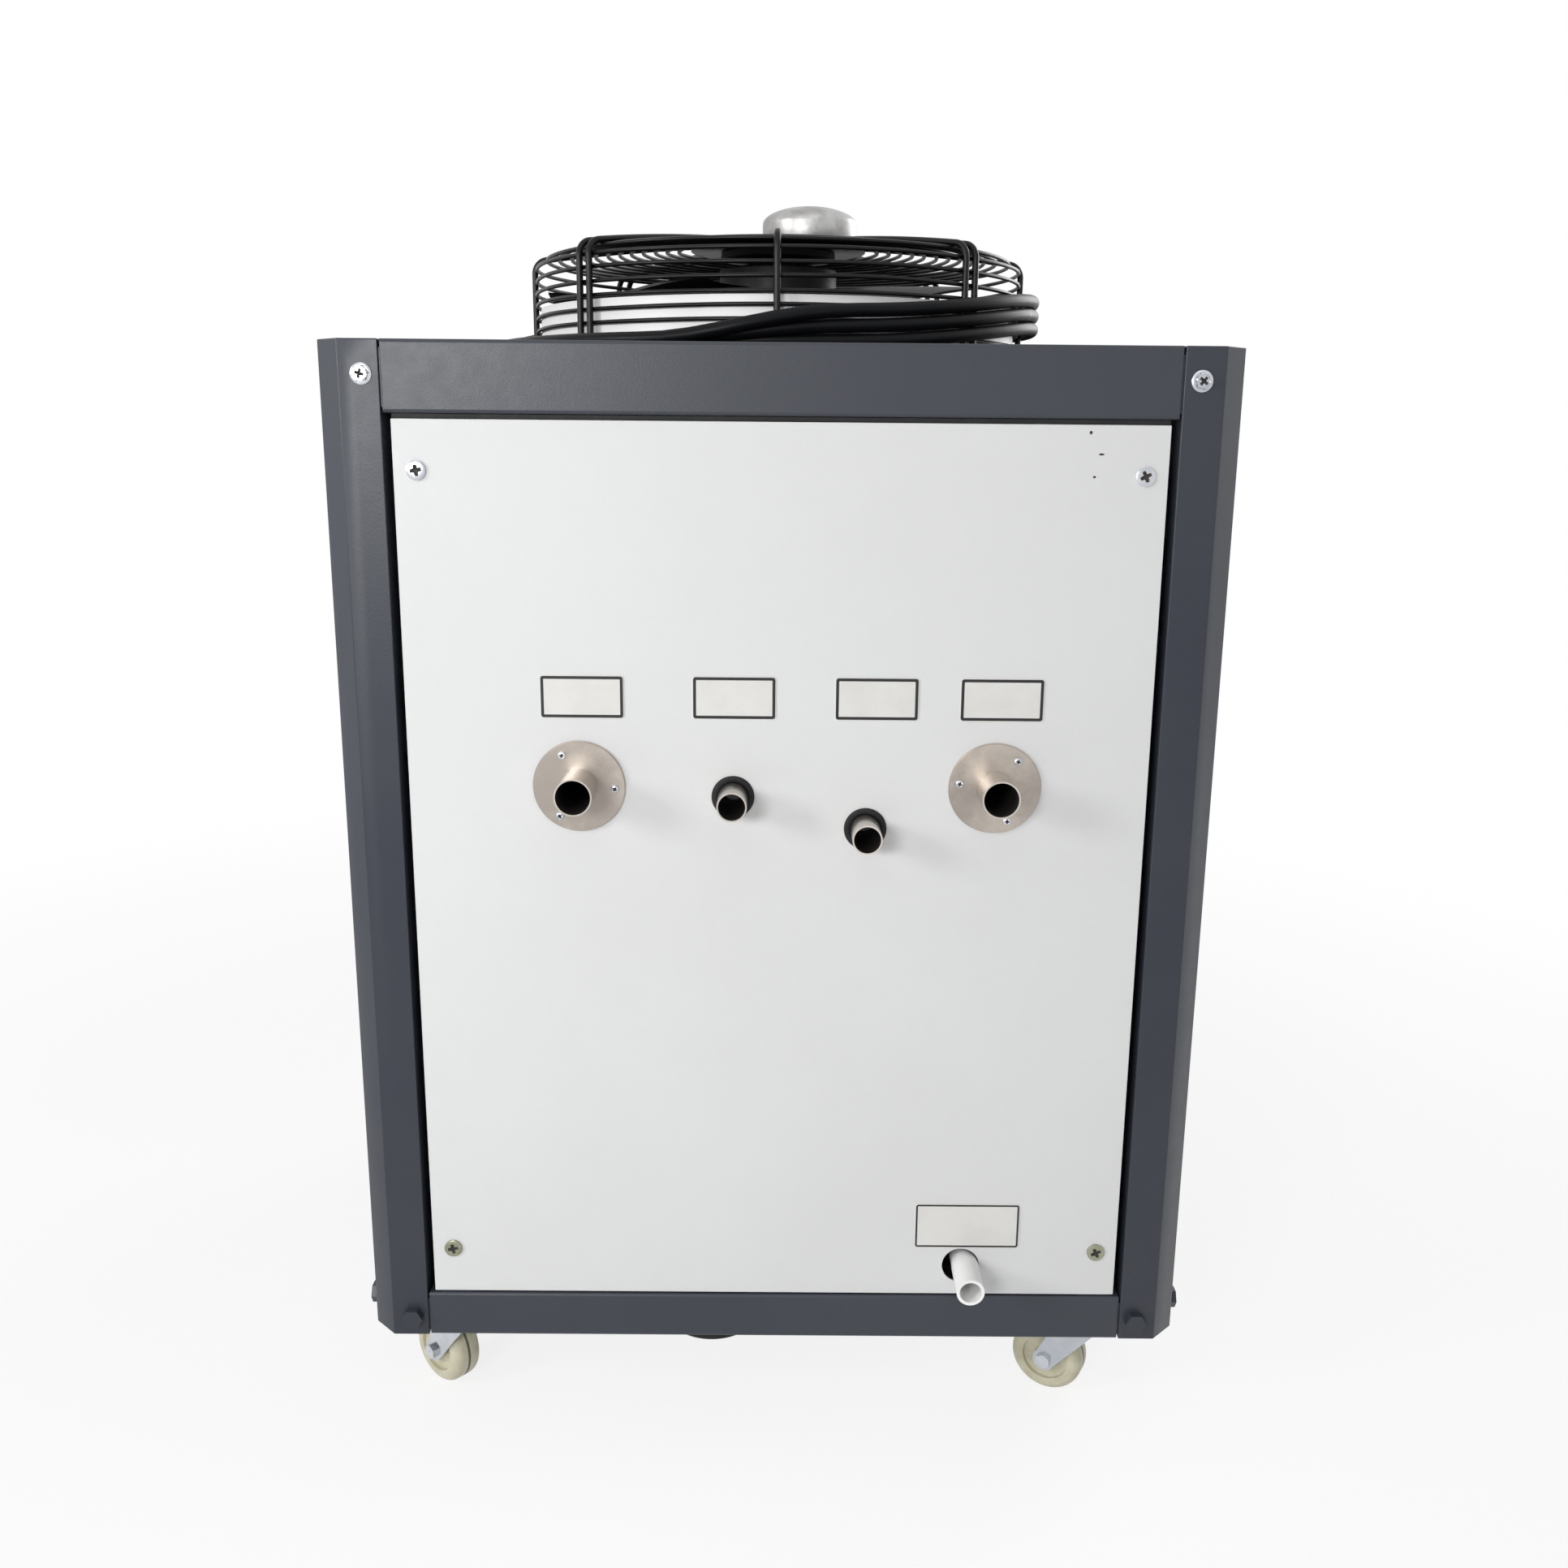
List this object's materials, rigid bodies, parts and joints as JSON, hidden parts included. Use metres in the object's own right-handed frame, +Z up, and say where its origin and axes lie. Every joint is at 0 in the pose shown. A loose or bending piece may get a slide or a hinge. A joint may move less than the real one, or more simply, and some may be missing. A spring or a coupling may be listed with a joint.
{
  "type": "air-cooled chiller",
  "caption": "Wheeled steel cabinet chiller with water pipe stubs on its front panel, a guarded fan on top and a cable coiled round the guard.",
  "frame": {"origin": "centre of the cabinet's footprint, on the floor under the wheels", "axes": "+Z up, the pipe panel faces -Y, the control panel faces +Y, +X to the right of someone facing the pipes"},
  "size_m": [0.816, 0.788, 1.211],
  "materials": {
    "slate_frame": "satin powder coat",
    "white_panel": "satin powder coat",
    "white_collar": "satin paint",
    "black_paint": "semi-gloss paint",
    "motor_paint": "satin paint",
    "pump_paint": "enamel",
    "zinc": "bright zinc plate",
    "galvanised": "galvanised sheet",
    "nickel": "satin nickel",
    "aluminium": "bare",
    "copper": "drawn copper",
    "black_rubber": "matt",
    "cable_jacket": "slightly glossy",
    "black_plastic": "fine grain",
    "drain_plastic": "glossy",
    "label_film": "satin film",
    "nylon": "moulded nylon",
    "blade_plastic": "glass-filled, matt",
    "red_plastic": "moulded"
  },
  "bodies": {
    "cabinet": {"corner_post_front_left": "slate_frame", "corner_post_front_right": "slate_frame", "corner_post_rear_left": "slate_frame", "corner_post_rear_right": "slate_frame", "top_rails_front_rear": "slate_frame", "top_rails_side": "slate_frame", "bottom_rails_front_rear": "slate_frame", "bottom_rails_side": "slate_frame", "base_pan": "galvanised", "top_panel": "slate_frame", "pipe_panel": "white_panel", "control_panel": "white_panel", "side_panel_left": "white_panel", "side_panel_right": "white_panel", "panel_screws": "zinc", "post_bolts": "zinc", "base_bolts": "slate_frame", "label_plates": "label_film", "flange_plates": "nickel", "flange_screws": "zinc", "water_outlet_pipe": "nickel", "water_inlet_pipe": "nickel", "makeup_pipe": "nickel", "overflow_pipe": "nickel", "pipe_grommets": "black_rubber", "drain_pipe": "drain_plastic", "base_bung": "black_rubber", "fan_collar": "white_collar", "guard_rings": "black_paint", "guard_ribs": "black_paint", "guard_screws": "zinc", "fan_motor": "motor_paint", "motor_cap": "aluminium", "cable_box": "black_plastic", "cable_gland": "black_plastic", "power_cable_lead": "cable_jacket", "power_cable_coil": "cable_jacket", "caster_plates": "zinc", "compressor": "motor_paint", "water_tank": "galvanised", "evaporator_coil": "copper", "water_pump": "pump_paint", "condenser_coils": "aluminium", "refrigerant_lines": "copper", "electrical_box": "galvanised", "control_unit": "black_plastic"},
    "fan_rotor": {"fan_rotor": "blade_plastic"},
    "main_switch": {"main_switch": "red_plastic"},
    "caster_front_left": {"caster_fork_front_left": "zinc", "caster_axle_front_left": "zinc"},
    "wheel_front_left": {"caster_wheel_front_left": "nylon"},
    "caster_front_right": {"caster_fork_front_right": "zinc", "caster_axle_front_right": "zinc"},
    "wheel_front_right": {"caster_wheel_front_right": "nylon"},
    "caster_rear_left": {"caster_fork_rear_left": "zinc", "caster_axle_rear_left": "zinc"},
    "wheel_rear_left": {"caster_wheel_rear_left": "nylon"},
    "caster_rear_right": {"caster_fork_rear_right": "zinc", "caster_axle_rear_right": "zinc"},
    "wheel_rear_right": {"caster_wheel_rear_right": "nylon"}
  },
  "joints": [
    {"name": "fan_spin", "type": "hinge", "parent": "cabinet", "child": "fan_rotor", "pos_m": [-0.005, 0, 1.1], "axis": [0, 0, 1], "continuous": true},
    {"name": "swivel_front_left", "type": "hinge", "parent": "cabinet", "child": "caster_front_left", "pos_m": [-0.321, -0.285, 0.09], "axis": [0, 0, 1], "continuous": true},
    {"name": "roll_front_left", "type": "hinge", "parent": "caster_front_left", "child": "wheel_front_left", "pos_m": [-0.34552, -0.26292, 0.0375], "axis": [0.6691, 0.7431, 0], "continuous": true},
    {"name": "swivel_front_right", "type": "hinge", "parent": "cabinet", "child": "caster_front_right", "pos_m": [0.321, -0.285, 0.09], "axis": [0, 0, 1], "continuous": true},
    {"name": "roll_front_right", "type": "hinge", "parent": "caster_front_right", "child": "wheel_front_right", "pos_m": [0.29186, -0.26951, 0.0375], "axis": [0.4695, 0.8829, 0], "continuous": true},
    {"name": "swivel_rear_left", "type": "hinge", "parent": "cabinet", "child": "caster_rear_left", "pos_m": [-0.321, 0.285, 0.09], "axis": [0, 0, 1], "continuous": true},
    {"name": "roll_rear_left", "type": "hinge", "parent": "caster_rear_left", "child": "wheel_rear_left", "pos_m": [-0.32786, 0.31728, 0.0375], "axis": [0.9781, 0.2079, 0], "continuous": true},
    {"name": "swivel_rear_right", "type": "hinge", "parent": "cabinet", "child": "caster_rear_right", "pos_m": [0.321, 0.285, 0.09], "axis": [0, 0, 1], "continuous": true},
    {"name": "roll_rear_right", "type": "hinge", "parent": "caster_rear_right", "child": "wheel_rear_right", "pos_m": [0.3045, 0.31358, 0.0375], "axis": [0.866, 0.5, 0], "continuous": true},
    {"name": "main_switch_turn", "type": "hinge", "parent": "cabinet", "child": "main_switch", "pos_m": [-0.15, 0.36, 0.765], "axis": [0, 1, 0], "range_deg": [0, 90]}
  ]
}
